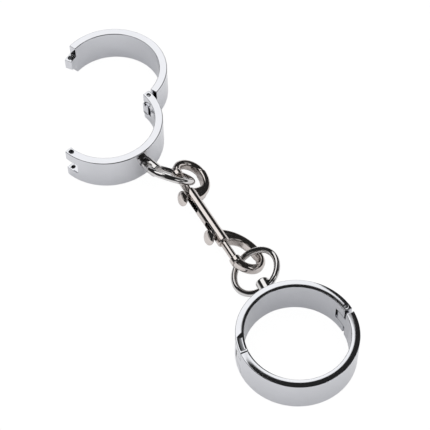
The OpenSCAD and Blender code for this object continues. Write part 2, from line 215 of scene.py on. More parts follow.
def layout(cuff, link, snap):
    """Derived sizes and every piece's place, in the way the CAD source works them out."""
    d = SimpleNamespace()
    d.bore_r, d.outer_r = cuff.bore_d / 2, cuff.bore_d / 2 + cuff.band_t
    d.mid_r, d.top = d.bore_r + cuff.band_t / 2, cuff.band_h / 2
    d.slot_h = cuff.tongue_h + 2 * cuff.slot_gap
    d.along = lambda distance: math.asin(distance / d.mid_r)
    d.ear_end = cuff.pin_angle + d.along(cuff.ear_past)
    d.hinge_shoulder = cuff.pin_angle + d.along(cuff.ear_past + cuff.hinge_gap)
    d.lock_shoulder = cuff.pin_angle + d.along(cuff.ear_past + cuff.lock_gap)
    d.slot_floor = cuff.pin_angle - d.along(cuff.tail_r + cuff.floor_gap)
    d.tongue_tip = cuff.pin_angle - d.along(cuff.tip_past)
    d.post_dir = math.pi / 2
    d.hinge_dir, d.lock_dir = d.post_dir + cuff.pin_angle, d.post_dir - cuff.pin_angle
    d.on_band = lambda a, z=0: Vector((d.mid_r * math.cos(a), d.mid_r * math.sin(a), z))
    d.eye_r, d.post_base = d.outer_r + link.eye_out, d.outer_r + link.post_gap
    d.eye_d = link.wire_d + 2 * link.eye_play
    d.ring_r = (link.ring_id + link.wire_d) / 2
    d.ring_reach = d.ring_r - link.wire_off
    d.arm_top, d.crotch = 2 * snap.nose_r, snap.barrel_l / 2
    d.bolt_tail = snap.knob_at - snap.stud_d / 2 - snap.bolt_past

    # pose at rest: turns of the posts, leans of the rings, places of the hooks round the rings,
    # tilt and heading of the snap, heading of cuff B's post, and where each ring is on its hook
    turn_a, turn_b = math.radians(-28.8), math.radians(-45)
    lean_a, lean_b = math.radians(3.6), math.radians(-2)
    walk_a, walk_b = math.radians(6), math.radians(-50)
    tilt, heading = math.radians(27.2), math.radians(-85.8)
    post_b_heading = math.radians(-70.4)
    wire_r = link.wire_d / 2
    hook_a = Vector((snap.hook_mid - snap.inward_a,
                     d.arm_top - snap.arm_t / 2 - snap.below_a - wire_r, 0))
    hook_b = Vector((snap.inward_b - snap.hook_mid, snap.bolt_d / 2 + snap.above_b + wire_r, 0))
    swell = 0.1 * MM

    up = move(z=d.top)
    snap_turn = turn(heading, "Z") @ turn(-tilt, "X")
    lift = ((d.arm_top + snap.arm_t / 2 - snap.arm_round) * math.sin(tilt)
            + (snap.arm_depth / 2 - snap.arm_round) * math.cos(tilt) + snap.arm_round + swell)

    def on_ring(walk, lean):
        return turn(lean, "Z") @ Vector((d.ring_r * math.sin(walk),
                                         d.ring_reach + d.ring_r * math.cos(walk), 0))

    def swing_to(p, post_turn, z):
        return math.asin((z + p.x * math.sin(post_turn)) / (p.y * math.cos(post_turn)))

    def ring_place(p, post_turn, swing):
        return Vector((0, d.eye_r, 0)) + turn(post_turn, "Y") @ (turn(swing, "X") @ p)

    ring_a, ring_b = on_ring(walk_a, lean_a), on_ring(walk_b, lean_b)
    height = lift - d.top
    swing_a = swing_to(ring_a, turn_a, height + (snap_turn @ hook_a).z)
    swing_b = swing_to(ring_b, turn_b, height + (snap_turn @ hook_b).z)
    snap_at = ring_place(ring_a, turn_a, swing_a) - snap_turn @ hook_a
    cuff_b_turn = turn(post_b_heading - d.post_dir, "Z")
    cuff_b_at = snap_at + snap_turn @ hook_b - cuff_b_turn @ ring_place(ring_b, turn_b, swing_b)

    def eye(swing, lean):
        return (move(y=d.eye_r) @ turn(swing, "X") @ turn(lean, "Z") @ move(y=d.ring_reach))

    d.cuff_a = up @ turn(math.pi, "Y")
    d.post_a = up @ turn(turn_a, "Y")
    d.ring_a = d.post_a @ eye(swing_a, lean_a)
    d.cuff_b = up @ move(cuff_b_at.x, cuff_b_at.y) @ cuff_b_turn
    d.post_b = d.cuff_b @ turn(turn_b, "Y")
    d.ring_b = d.post_b @ eye(swing_b, lean_b)
    d.snap = up @ Matrix.Translation(snap_at) @ snap_turn
    d.snap_far = d.snap @ Matrix.Scale(-1, 4, (1, 0, 0))
    swung = about(d.on_band(d.hinge_dir), turn(-cuff.open_angle, "Z"))
    d.gate_a, d.gate_b = d.cuff_a, d.cuff_b @ swung
    return d


def sizes(context):
    """The three groups of sizes, and what follows from them."""
    scene = context.scene
    groups = scene.cuff_sizes, scene.link_sizes, scene.snap_sizes
    return *groups, layout(*groups)


# ----------------------------------------------------------------- mesh making

def corner(x, y, radius, start, steps=6):
    """Points of a quarter arc about (x, y), from the start angle in quarter turns."""
    return [(x + radius * math.cos(a), y + radius * math.sin(a))
            for a in ((start + i / steps) * math.pi / 2 for i in range(steps + 1))]


def lathe(bm, outline, steps=96):
    """Spins an outline of (radius, height) points about Z, closed at the axis."""
    verts = [bm.verts.new((r, 0, z)) for r, z in outline]
    edges = [bm.edges.new(pair) for pair in zip(verts, verts[1:])]
    bmesh.ops.spin(bm, geom=verts + edges, cent=(0, 0, 0), axis=(0, 0, 1),
                   angle=2 * math.pi, steps=steps, use_merge=True)


def rounded_face(bm, x0, y0, x1, y1, radius, place):
    """A rectangle with round corners as one face, put in place by a matrix."""
    left, right, low, high = x0 + radius, x1 - radius, y0 + radius, y1 - radius
    points = (corner(right, high, radius, 0) + corner(left, high, radius, 1)
              + corner(left, low, radius, 2) + corner(right, low, radius, 3))
    return bm.faces.new([bm.verts.new(place @ Vector((x, 0, y))) for x, y in points])


def sweep(bm, faces, turned, steps, centre=(0, 0, 0), axis=(0, 0, 1)):
    """Spins faces that share edges on from where they stand, and gives the new end faces."""
    geom = set(faces)
    for face in faces:
        geom.update(face.edges)
        geom.update(face.verts)
    out = bmesh.ops.spin(bm, geom=list(geom), cent=centre, axis=axis, angle=turned,
                         steps=steps, use_duplicate=False)
    return [g for g in out["geom_last"] if isinstance(g, bmesh.types.BMFace)]


def raised(bm, face, way):
    """Extrudes a face along a vector."""
    risen = bmesh.ops.extrude_face_region(bm, geom=[face])["geom"]
    bmesh.ops.translate(bm, vec=way, verts=[v for v in risen if isinstance(v, bmesh.types.BMVert)])


def tidy(bm):
    """Merges doubles and turns every face outwards."""
    bmesh.ops.remove_doubles(bm, verts=bm.verts, dist=1e-7)
    bmesh.ops.dissolve_degenerate(bm, edges=bm.edges, dist=1e-8)
    bmesh.ops.recalc_face_normals(bm, faces=bm.faces)


def shell(name, bm, place=None):
    """Makes an object of a finished bmesh, placed in its mesh."""
    tidy(bm)
    if place is not None:
        bmesh.ops.transform(bm, matrix=place, verts=bm.verts)
        if place.determinant() < 0:
            bmesh.ops.reverse_faces(bm, faces=bm.faces)
    mesh = bpy.data.meshes.new(name)
    bm.to_mesh(mesh)
    bm.free()
    for face in mesh.polygons:
        face.use_smooth = True
    made = bpy.data.objects.new(name, mesh)
    bpy.context.scene.collection.objects.link(made)
    return made


def turned(name, outline, place, steps=48):
    """An object turned from an outline of (radius, height) points, and put in place."""
    bm = bmesh.new()
    lathe(bm, outline, steps)
    return shell(name, bm, place)


def rod(bm, radius, depth, place, segments=64):
    """Adds a closed cylinder about the Z axis of a place."""
    bmesh.ops.create_cone(bm, cap_ends=True, segments=segments, radius1=radius, radius2=radius,
                          depth=depth, matrix=place)


def rod_cutter(radius, depth, place, segments):
    """The same cylinder as a cutter."""
    bm = bmesh.new()
    rod(bm, radius, depth, place, segments)
    return shell("cutter", bm)


def modifier(piece, kind, **settings):
    """Adds a modifier with its settings."""
    made = piece.modifiers.new(kind.title(), kind)
    for name, value in settings.items():
        setattr(made, name, value)


def broken_edges(piece, width, limit=50):
    """A small round on every sharp edge, as left by the polishing wheel."""
    modifier(piece, "BEVEL", width=width, segments=2, profile=0.5, limit_method="ANGLE",
             angle_limit=math.radians(limit), use_clamp_overlap=True, miter_outer="MITER_ARC")


def cut(piece, *cutters):
    """Takes the cutters' shapes out of a piece."""
    for cutter in cutters:
        modifier(piece, "BOOLEAN", operation="DIFFERENCE", solver="EXACT", object=cutter)


def settle(piece, *cutters):
    """Fixes a piece's modifiers into its mesh, with normals that keep flats flat."""
    modifier(piece, "WEIGHTED_NORMAL", weight=60, keep_sharp=True)
    graph = bpy.context.evaluated_depsgraph_get()
    done = bpy.data.meshes.new_from_object(piece.evaluated_get(graph), depsgraph=graph)
    old = piece.data
    piece.modifiers.clear()
    piece.data = done
    done.name = piece.name
    bpy.data.meshes.remove(old)
    for cutter in cutters:
        bpy.data.objects.remove(cutter)


def finished(piece, material, body, node):
    """Gives a piece its material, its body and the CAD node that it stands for."""
    piece.data.materials.clear()
    piece.data.materials.append(material)
    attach(piece, body)
    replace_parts(piece, node)


# ------------------------------------------------------------------- materials

def node(tree, kind, inputs=None, **settings):
    """Adds a node, sets it, and links or fills its inputs."""
    made = tree.nodes.new(kind)
    for name, value in settings.items():
        setattr(made, name, value)
    for name, value in (inputs or {}).items():
        if isinstance(value, bpy.types.NodeSocket):
            tree.links.new(value, made.inputs[name])
        else:
            made.inputs[name].default_value = value
    return made


def new_material(name):
    """An empty node material, its tree and its output node."""
    made = bpy.data.materials.get(name) or bpy.data.materials.new(name)
    made.use_nodes = True
    made.node_tree.nodes.clear()
    return made, made.node_tree, made.node_tree.nodes.new("ShaderNodeOutputMaterial")


def plated_metal(name, base, waves_mm, waves_high, grain_mm, smooth, rough, tint):
    """A plated metal: slow polishing waves, fine grain in its gloss and faint colour change."""
    made, tree, output = new_material(name)
    where = node(tree, "ShaderNodeTexCoord").outputs["Object"]
    waves = node(tree, "ShaderNodeTexNoise", {"Vector": where, "Scale": 1 / (waves_mm * MM),
                                              "Detail": 2.0, "Roughness": 0.45})
    grain = node(tree, "ShaderNodeTexNoise", {"Vector": where, "Scale": 1 / (grain_mm * MM),
                                              "Detail": 3.0, "Roughness": 0.6})
    gloss = node(tree, "ShaderNodeMapRange", {"Value": grain.outputs["Fac"], "From Min": 0.35,
                                              "From Max": 0.65, "To Min": smooth, "To Max": rough})
    shade = node(tree, "ShaderNodeMapRange", {"Value": waves.outputs["Fac"], "From Min": 0.3,
                                              "From Max": 0.7, "To Min": 1 - tint, "To Max": 1.0})
    body = node(tree, "ShaderNodeVectorMath", {0: base, "Scale": shade.outputs["Result"]},
                operation="SCALE")
    bump = node(tree, "ShaderNodeBump", {"Height": waves.outputs["Fac"], "Strength": 1.0,
                                         "Distance": waves_high * MM})
    metal = node(tree, "ShaderNodeBsdfPrincipled", {
        "Base Color": body.outputs["Vector"], "Metallic": 1.0,
        "Roughness": gloss.outputs["Result"], "Normal": bump.outputs["Normal"]})
    tree.links.new(metal.outputs["BSDF"], output.inputs["Surface"])
    return made


def cuff_chrome(finish):
    """Bright chrome over buffed steel: a near mirror, with slow waves left by the mop."""
    return plated_metal("bright_chrome_on_buffed_steel", finish.cuff, waves_mm=14,
                        waves_high=0.012, grain_mm=1.2, smooth=0.03, rough=0.06, tint=0.03)


def ring_chrome(finish):
    """Chrome over drawn wire: as bright, but the drawn wire under it is a little wavier."""
    return plated_metal("bright_chrome_on_drawn_wire", finish.wire, waves_mm=5,
                        waves_high=0.012, grain_mm=0.8, smooth=0.04, rough=0.08, tint=0.05)


def snap_nickel(finish):
    """Nickel over a tumbled zinc casting: warmer, softer and wavier than the cuffs."""
    return plated_metal("nickel_on_tumbled_zinc_casting", finish.snap, waves_mm=4,
                        waves_high=0.02, grain_mm=0.6, smooth=0.05, rough=0.11, tint=0.06)


def turned_steel(finish):
    """Bare turned steel of pins, screws and springs: grey, with fine tool marks."""
    return plated_metal("turned_steel", finish.steel, waves_mm=0.8, waves_high=0.006,
                        grain_mm=0.25, smooth=0.22, rough=0.36, tint=0.1)


def milled_steel(finish):
    """Thin chrome over milled steel that wasn't buffed: dull, with the cutter's marks."""
    return plated_metal("thin_chrome_on_milled_steel", finish.steel, waves_mm=0.9, waves_high=0.02,
                        grain_mm=0.3, smooth=0.3, rough=0.5, tint=0.2)


# ---------------------------------------------------------------------- pieces

def band_section(bm, cuff, d, at, tongue, columns):
    """Section of the band as three faces that share edges: upper ear, tongue and lower ear."""
    def point(radius, z):
        return bm.verts.new((radius * math.cos(at), radius * math.sin(at), z))

    radii = [d.bore_r + cuff.band_t * i / columns for i in range(columns + 1)]
    high = [point(r, tongue / 2) for r in radii]
    low = [point(r, -tongue / 2) for r in radii]
    # the polishing wheel leaves the top and bottom a little crowned between the rounded edges
    r, flat = cuff.edge_r, cuff.band_t / 2 - cuff.edge_r
    fall = cuff.crown / flat ** 2
    upright = math.pi / 2 - math.atan(2 * fall * flat)
    edge_steps, crown_steps = 8, 12
    centre = d.top - cuff.crown - r * math.sin(upright)
    over = [(d.outer_r - r + r * math.cos(a), centre + r * math.sin(a))
            for a in (i / edge_steps * upright for i in range(edge_steps + 1))]
    across = [flat * (1 - 2 * i / crown_steps) for i in range(1, crown_steps)]
    top = [(d.mid_r + x, d.top - fall * x ** 2) for x in across]
    inner = [(2 * d.mid_r - x, z) for x, z in over[::-1]]
    over = over + top + inner
    under = [(x, -z) for x, z in over[::-1]]
    upper = bm.faces.new(high + [point(*p) for p in over])
    middle = bm.faces.new(low + high[::-1])
    lower = bm.faces.new([point(*p) for p in under] + low[::-1])
    return upper, middle, lower


def through_hole(cuff, d, at, diameter, half):
    """A cutter for a hole through the band, with broken rims."""
    r, rim = diameter / 2, cuff.hole_rim
    return turned("cutter", [
        (0, -half - rim), (r + 2 * rim, -half - rim), (r, -half + rim), (r, half - rim),
        (r + 2 * rim, half + rim), (0, half + rim)], turn(at, "Z") @ move(d.mid_r))


def blind_hole(cuff, d, at, diameter, z0, z1):
    """A cutter for a hole from z0 up to z1, with its upper rim broken."""
    r, rim = diameter / 2, cuff.hole_rim
    return turned("cutter", [(0, z0), (r, z0), (r, z1 - rim), (r + 2 * rim, z1 + rim),
                             (0, z1 + rim)], turn(at, "Z") @ move(d.mid_r))


def polish_slope(bm, cuff, d, ear_tip):
    """Slopes the far ear's face to the bore, as polishing left it, but keeps its end land flat."""
    slant, fade, land, land_fade = 0.65, 1.2 * MM, 0.7 * cuff.recess_end, 0.5 * MM
    for vert in bm.verts:
        out = math.hypot(vert.co.x, vert.co.y)
        back = (math.atan2(vert.co.y, vert.co.x) - ear_tip) * d.mid_r
        if vert.co.z < -d.top + cuff.edge_r + cuff.crown:
            run_out = cuff.polish_l - (out - d.bore_r) * slant
            share = (min(max((run_out - back) / fade, 0), 1)
                     * min(max((back - land) / land_fade, 0), 1))
            depth = math.tan(cuff.polish_angle) * max(d.outer_r - cuff.edge_r - out, 0)
            vert.co.z += share * depth


def fork_half(name, cuff, link, d, place):
    """Half a band with a slot at each end, drilled for the pin, the screw and the post."""
    step = math.radians(1)
    bm = bmesh.new()
    start = band_section(bm, cuff, d, d.post_dir - d.slot_floor, d.slot_h, 1)
    span = 2 * d.slot_floor
    ears = d.ear_end - d.slot_floor
    ends = sweep(bm, start, span, round(span / step))
    ends = [f for f in ends if abs(f.calc_center_median().z) > d.slot_h / 2]
    sweep(bm, ends, ears, round(ears / step))
    sweep(bm, (start[0], start[2]), -ears, round(ears / step))
    ear_tip = d.post_dir - d.ear_end
    polish_slope(bm, cuff, d, ear_tip)
    piece = shell(name, bm)
    broken_edges(piece, cuff.short_edge)
    pin_hole = through_hole(cuff, d, d.hinge_dir, cuff.pin_d, d.top)
    ear, past = d.slot_h / 2, 1 * MM
    screw_hole = blind_hole(cuff, d, d.lock_dir, cuff.screw_d + 2 * cuff.screw_play,
                            ear - past, d.top)
    seat = blind_hole(cuff, d, d.lock_dir, cuff.seat_d, -ear - cuff.seat_depth, -ear)
    # the rivet head sits under a flush plated plug, so that the bore is smooth
    plug = d.bore_r + 0.12 * MM
    deep = d.bore_r + link.head_skin + link.head_t + link.head_play
    neck_r, head_r = link.neck_d / 2 + link.neck_play, link.head_d / 2 + link.head_play
    recess = turned("cutter", [(0, plug), (head_r, plug), (head_r, deep), (neck_r, deep),
                               (neck_r, d.outer_r + past), (0, d.outer_r + past)],
                    turn(-math.pi / 2, "X"))
    # shallow recess in the far ear's outer face, with sloping sides
    half, slope, lip, floor = cuff.recess_w / 2, 0.7 * MM, 0.05 * MM, cuff.recess_depth
    outside = -0.3 * MM
    milled = bmesh.new()
    outline = [(-half, outside), (-half, lip), (-half + slope, floor), (half - slope, floor),
               (half, lip), (half, outside)]
    section = milled.faces.new([milled.verts.new((d.mid_r + x, 0, z - d.top)) for x, z in outline])
    sweep(milled, (section,), d.along(cuff.recess_l), 16)
    ear_cut = shell("cutter", milled, turn(ear_tip + d.along(cuff.recess_end), "Z"))
    cutters = (pin_hole, screw_hole, seat, recess, ear_cut)
    cut(piece, *cutters)
    settle(piece, *cutters)
    piece.data.transform(place)
    return piece


def tongue_half(name, cuff, d, place):
    """The other half, with a tongue at each end."""
    step = math.radians(1)
    bm = bmesh.new()
    start = band_section(bm, cuff, d, d.post_dir + d.hinge_shoulder, cuff.tongue_h, 8)
    span = 2 * math.pi - d.hinge_shoulder - d.lock_shoulder
    ends = sweep(bm, start, span, round(span / step))
    tongue = [f for f in ends if abs(f.calc_center_median().z) < cuff.tongue_h / 2]
    reach = d.lock_shoulder - d.tongue_tip
    sweep(bm, tongue, reach, round(reach / step))
    # the hinge tongue ends in a round about the pin
    flat = math.sqrt(cuff.tail_r ** 2 - (cuff.band_t / 2) ** 2)
    back = d.hinge_shoulder - cuff.pin_angle + d.along(flat)
    tail = sweep(bm, (start[1],), -back, round(back / step))
    away = Vector((math.sin(d.hinge_dir), -math.cos(d.hinge_dir), 0))
    for vert in {v for f in tail for v in f.verts}:
        across = math.hypot(vert.co.x, vert.co.y) - d.mid_r
        vert.co += away * (math.sqrt(cuff.tail_r ** 2 - across ** 2) - flat)
    piece = shell(name, bm)
    broken_edges(piece, cuff.short_edge)
    cutters = [through_hole(cuff, d, at, diameter, cuff.tongue_h / 2) for at, diameter in (
        (d.hinge_dir, cuff.pin_d + 2 * cuff.pin_play),
        (d.lock_dir, cuff.screw_d + 2 * cuff.lock_play))]
    cut(piece, *cutters)
    settle(piece, *cutters)
    piece.data.transform(place)
    return piece


def unpolished(piece, milled, place, cuff, d, recess=False):
    """Leaves the lock hole's walls as milled, and the recess's floor on a piece that has one,
    because the polishing mop doesn't reach them."""
    piece.data.materials.append(milled)
    back, middle = place.inverted(), place @ d.on_band(d.lock_dir)
    floor, hole_r = cuff.recess_depth - d.top, cuff.screw_d / 2 + cuff.lock_play
    for face in piece.data.polygons:
        away = face.center - middle
        wall = math.hypot(away.x, away.y) < hole_r and abs(face.normal.z) < 0.5
        if wall or (recess and abs((back @ face.center).z - floor) < 0.02 * MM):
            face.material_index = 1


class CUFFS_OT_bands(Operator):
    """Makes the fork half and the tongue half of both cuffs"""
    bl_idname = "cuffs.bands"
    bl_label = "Cuff bands"

    def execute(self, context):
        cuff, link, _, d = sizes(context)
        chrome, milled = cuff_chrome(context.scene.finish), milled_steel(context.scene.finish)
        for side, fork_place, gate_place in (("a", d.cuff_a, d.gate_a),
                                             ("b", d.cuff_b, d.gate_b)):
            fork = fork_half(f"fork_half_{side}", cuff, link, d, fork_place)
            finished(fork, chrome, f"cuff_{side}", f"cuff_{side}_fork_half")
            unpolished(fork, milled, fork_place, cuff, d, recess=True)
            gate = tongue_half(f"tongue_half_{side}", cuff, d, gate_place)
            finished(gate, chrome, f"cuff_{side}_gate", f"cuff_{side}_tongue_half")
            unpolished(gate, milled, gate_place, cuff, d)
        return {"FINISHED"}


class CUFFS_OT_pins(Operator):
    """Makes the hinge pins and the lock screws"""
    bl_idname = "cuffs.pins"
    bl_label = "Pins and screws"

    def execute(self, context):
        cuff, _, _, d = sizes(context)
        steel = turned_steel(context.scene.finish)
        for side, place in (("a", d.cuff_a), ("b", d.cuff_b)):
            # pin with slightly domed ends, cut from bright rod
            r, end, dome = cuff.pin_d / 2, d.top - cuff.pin_sunk, 0.15 * MM
            face = [(out * r, end - fall * dome)
                    for out, fall in ((0, 0), (0.6, 0.2), (0.92, 1), (1, 2))]
            pin = turned(f"hinge_pin_{side}", [(x, -z) for x, z in face] + face[::-1],
                         place @ turn(d.hinge_dir, "Z") @ move(d.mid_r))
            settle(pin)
            finished(pin, steel, f"cuff_{side}", f"cuff_{side}_hinge_pin")
            # grub screw with a hexagon socket
            r, point, rim = cuff.screw_d / 2, cuff.screw_d / 6, 0.25 * MM
            high = d.top - cuff.screw_sunk
            low = high - cuff.screw_l
            screw_place = turn(d.lock_dir, "Z") @ move(d.mid_r)
            screw = turned(f"lock_screw_{side}", [
                (0, low), (r - point, low), (r, low + point), (r, high - rim), (r - rim, high),
                (0, high)], screw_place)
            corners = cuff.socket_af / 2 / math.cos(math.radians(30))
            socket = rod_cutter(corners, 2 * cuff.socket_depth, screw_place @ move(z=high), 6)
            cut(screw, socket)
            settle(screw, socket)
            screw.data.transform(place)
            finished(screw, steel, f"cuff_{side}_screw", f"cuff_{side}_lock_screw")
        return {"FINISHED"}


class CUFFS_OT_posts(Operator):
    """Makes the two swivelling ring posts"""
    bl_idname = "cuffs.posts"
    bl_label = "Ring posts"

    def execute(self, context):
        _, link, _, d = sizes(context)
        chrome = ring_chrome(context.scene.finish)
        low = d.bore_r + link.head_skin
        neck, head, rim = link.neck_d / 2, link.head_d / 2, 0.3 * MM
        end, r, soft = d.post_base + link.post_l, link.post_d / 2, link.post_round
        for side, place in (("a", d.post_a), ("b", d.post_b)):
            post = turned(f"ring_post_{side}", [
                (0, low), (head, low), (head, low + link.head_t), (neck, low + link.head_t),
                (neck, d.post_base), (r - rim, d.post_base), (r, d.post_base + rim),
                *corner(r - soft, end - soft, soft, 0), (0, end)], turn(-math.pi / 2, "X"), 96)
            eye = rod_cutter(d.eye_d / 2, 2 * link.post_d,
                             move(y=d.eye_r) @ turn(math.pi / 2, "Y"), 64)
            cut(post, eye)
            broken_edges(post, 0.2 * MM, limit=40)
            settle(post, eye)
            post.data.transform(place)
            finished(post, chrome, f"post_{side}", f"cuff_{side}_ring_post")
        return {"FINISHED"}


class CUFFS_OT_rings(Operator):
    """Makes the two round wire rings"""
    bl_idname = "cuffs.rings"
    bl_label = "Rings"

    def execute(self, context):
        _, link, _, d = sizes(context)
        chrome = ring_chrome(context.scene.finish)
        for side, place in (("a", d.ring_a), ("b", d.ring_b)):
            bm = bmesh.new()
            wire = bmesh.ops.create_circle(bm, segments=40, radius=link.wire_d / 2,
                                           matrix=move(d.ring_r) @ turn(math.pi / 2, "X"))
            edges = {e for v in wire["verts"] for e in v.link_edges}
            bmesh.ops.spin(bm, geom=wire["verts"] + list(edges), cent=(0, 0, 0), axis=(0, 0, 1),
                           angle=2 * math.pi, steps=192, use_merge=True)
            ring = shell(f"ring_{side}", bm, place)
            finished(ring, chrome, f"ring_{side}", f"cuff_{side}_ring")
        return {"FINISHED"}


def hook(bm, snap, d, side):
    """Arm, nose, boss and web of one hook, as closed shells that overlap."""
    half, deep, r = snap.arm_t / 2, snap.arm_depth / 2, snap.arm_round
    arm_y = d.arm_top - snap.arm_r
    root = math.acos(-arm_y / snap.arm_r)
    part = bmesh.new()

    def section(radius):
        return rounded_face(part, d.arm_top - half, -deep, d.arm_top + half, deep, radius,
                            move(snap.hook_mid) @ turn(math.pi / 2, "Z"))

    # the nose is nearly round in section, and laps into the flatter arm
    round_share, lap, reach = 0.97, math.radians(8), math.radians(178)
    nose_steps, arm_steps = 89, 60
    middle = Vector((snap.hook_mid, snap.nose_r, 0))
    nose = section(round_share * half)
    bmesh.ops.transform(part, matrix=about(middle, turn(lap, "Z")), verts=nose.verts)
    sweep(part, (nose,), -reach, nose_steps, middle)
    sweep(part, (section(r),), root, arm_steps, (snap.hook_mid, arm_y, 0))
    # boss
    rod(part, snap.boss_d / 2, snap.boss_l,
        move(snap.boss_at + snap.boss_l / 2) @ turn(math.pi / 2, "Y"))
    # web between the arm and the barrel
    left = snap.hook_mid - snap.arm_r + 0.3 * MM

    def on_arm(x, radius=snap.arm_r):
        return Vector((x, arm_y + math.sqrt(radius ** 2 - (x - snap.hook_mid) ** 2)))

    # the corner of the hook's mouth is filled in a soft curve that runs into the arm's inner side
    steps, run, hollow = 12, 5 * MM, 0.5 * MM
    begin = Vector((d.crotch, snap.barrel_d / 2 - r))
    end = on_arm(d.crotch + run, snap.arm_r - half)
    bend = Vector((d.crotch + hollow, 0))
    bend.y = end.y - (end.x - bend.x) * (snap.hook_mid - end.x) / (end.y - arm_y)
    shares = [i / steps for i in range(steps + 1)]
    points = ([(d.crotch, 0)]
              + [begin * (1 - s) ** 2 + bend * 2 * s * (1 - s) + end * s ** 2 for s in shares]
              + [on_arm(end.x + (left - end.x) * s) for s in shares] + [(left, 0)])
    thick = (snap.barrel_d - snap.arm_round) / 2
    outline = [part.verts.new((x, max(y, 0), -thick)) for x, y in points]
    raised(part, part.faces.new(outline), (0, 0, 2 * thick))
    rim = []
    for one, two in zip(outline[1:steps + 1], outline[2:steps + 2]):
        edge = part.edges.get((one, two))
        wall = next(f for f in edge.link_faces if len(f.verts) == 4)
        rim += [edge] + [e for e in wall.edges if one not in e.verts and two not in e.verts]
    bmesh.ops.bevel(part, geom=rim, offset=r - (deep - thick), segments=6, profile=0.5,
                    affect="EDGES", material=-1)
    tidy(part)
    bmesh.ops.transform(part, matrix=Matrix.Scale(side, 4, (1, 0, 0)), verts=part.verts)
    if side < 0:
        bmesh.ops.reverse_faces(part, faces=part.faces)
    mesh = bpy.data.meshes.new("hook")
    part.to_mesh(mesh)
    part.free()
    bm.from_mesh(mesh)
    bpy.data.meshes.remove(mesh)


def bolt_way(snap, d, side):
    """The blind bore for one bolt, and the slot for its stud."""
    deep = snap.boss_at + snap.cup_depth - snap.bore_wall / 2
    middle = snap.bore_wall / 2 + deep / 2
    bore = rod_cutter(snap.bolt_d / 2 + snap.bolt_play, deep,
                      move(side * middle) @ turn(math.pi / 2, "Y"), 48)
    bm = bmesh.new()
    half = snap.stud_d / 2 + snap.stud_play
    inner = snap.knob_at - snap.bolt_travel
    outer = d.crotch - snap.slot_wall - snap.stud_d / 2
    # a hair under half the width, so that the ends' quarter arcs don't share a corner
    face = rounded_face(bm, inner - half, -half, outer + half, half, half * 0.999, move())
    raised(bm, face, (0, -snap.barrel_d, 0))
    slot = shell("cutter", bm, Matrix.Scale(side, 4, (1, 0, 0)))
    return bore, slot


class CUFFS_OT_snap_body(Operator):
    """Makes the snap's body: a barrel with a hook at each end, cast in one"""
    bl_idname = "cuffs.snap_body"
    bl_label = "Snap body"

    def execute(self, context):
        _, _, snap, d = sizes(context)
        bm = bmesh.new()
        r, end, rim = snap.barrel_d / 2, d.crotch, 0.5 * MM
        lathe(bm, [(0, -end), (r - rim, -end), (r, -end + rim), (r, end - rim), (r - rim, end),
                   (0, end)])
        bmesh.ops.transform(bm, matrix=turn(math.pi / 2, "Y"), verts=bm.verts)
        tidy(bm)
        for side in (1, -1):
            hook(bm, snap, d, side)
        body = shell("snap_body", bm)
        # a casting's soft inner corners: the shells are fused on a fine grid and smoothed
        modifier(body, "REMESH", mode="VOXEL", voxel_size=0.26 * MM, use_smooth_shade=True)
        modifier(body, "SMOOTH", factor=0.5, iterations=9)
        cutters = [c for side in (1, -1) for c in bolt_way(snap, d, side)]
        cut(body, *cutters)
        settle(body, *cutters)
        body.data.transform(d.snap)
        finished(body, snap_nickel(context.scene.finish), "snap", "snap_body")
        return {"FINISHED"}


class CUFFS_OT_bolts(Operator):
    """Makes the sliding bolts, their thumb knobs and their springs"""
    bl_idname = "cuffs.bolts"
    bl_label = "Bolts, knobs and springs"

    def execute(self, context):
        _, _, snap, d = sizes(context)
        nickel, steel = snap_nickel(context.scene.finish), turned_steel(context.scene.finish)
        tip, tail = snap.boss_at + snap.cup_depth - snap.tip_gap, d.bolt_tail
        r, point, rim = snap.bolt_d / 2, snap.bolt_d / 9, 0.2 * MM
        face, soft, stud_r = snap.barrel_d / 2 + snap.knob_gap, snap.knob_round, snap.stud_d / 2
        knob_r, root, brim = snap.knob_d / 2, 0.3 * MM, 0.15 * MM
        dome_r = (snap.knob_dome ** 2 + knob_r ** 2) / (2 * snap.knob_dome)
        for side, place in (("a", d.snap), ("b", d.snap_far)):
            bolt = turned(f"bolt_{side}", [
                (0, tail), (r - rim, tail), (r, tail + rim), (r, tip - point), (r - point, tip),
                (0, tip)], turn(math.pi / 2, "Y"), 64)
            hole = rod_cutter(stud_r, 2 * snap.bolt_d,
                              move(snap.knob_at, -snap.bolt_d) @ turn(math.pi / 2, "X"), 32)
            cut(bolt, hole)
            settle(bolt, hole)
            bolt.data.transform(place)
            if place.determinant() < 0:
                bolt.data.flip_normals()
            finished(bolt, nickel, f"bolt_{side}", f"snap_bolt_{side}")
            # thumb knob: a domed disc on a stud
            low = face + snap.knob_t - dome_r
            span, steps = math.asin((knob_r - brim) / dome_r), 10
            dome = [(dome_r * math.sin(a), low + dome_r * math.cos(a))
                    for a in (span * (1 - i / steps) for i in range(steps + 1))]
            knob = turned(f"knob_{side}", [
                (0, 0), (stud_r, 0), (stud_r, face - root), (stud_r + root, face),
                (knob_r - soft, face), *corner(knob_r - soft, face + soft, soft, 3),
                (knob_r, dome[0][1] - rim), *dome],
                place @ move(snap.knob_at) @ turn(math.pi / 2, "X"), 64)
            settle(knob)
            finished(knob, nickel, f"bolt_{side}", f"snap_knob_{side}")
            # the coil is short and plain, so the CAD's own shape is kept, with its corners joined
            bm = bmesh.new()
            bm.from_mesh(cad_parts[f"snap_spring_{side}"].data)
            bmesh.ops.remove_doubles(bm, verts=bm.verts, dist=0.001 * MM)
            spring = shell(f"spring_{side}", bm)
            finished(spring, steel, "snap", f"snap_spring_{side}")
            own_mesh(spring)
        return {"FINISHED"}


# ----------------------------------------------------------------------- stage

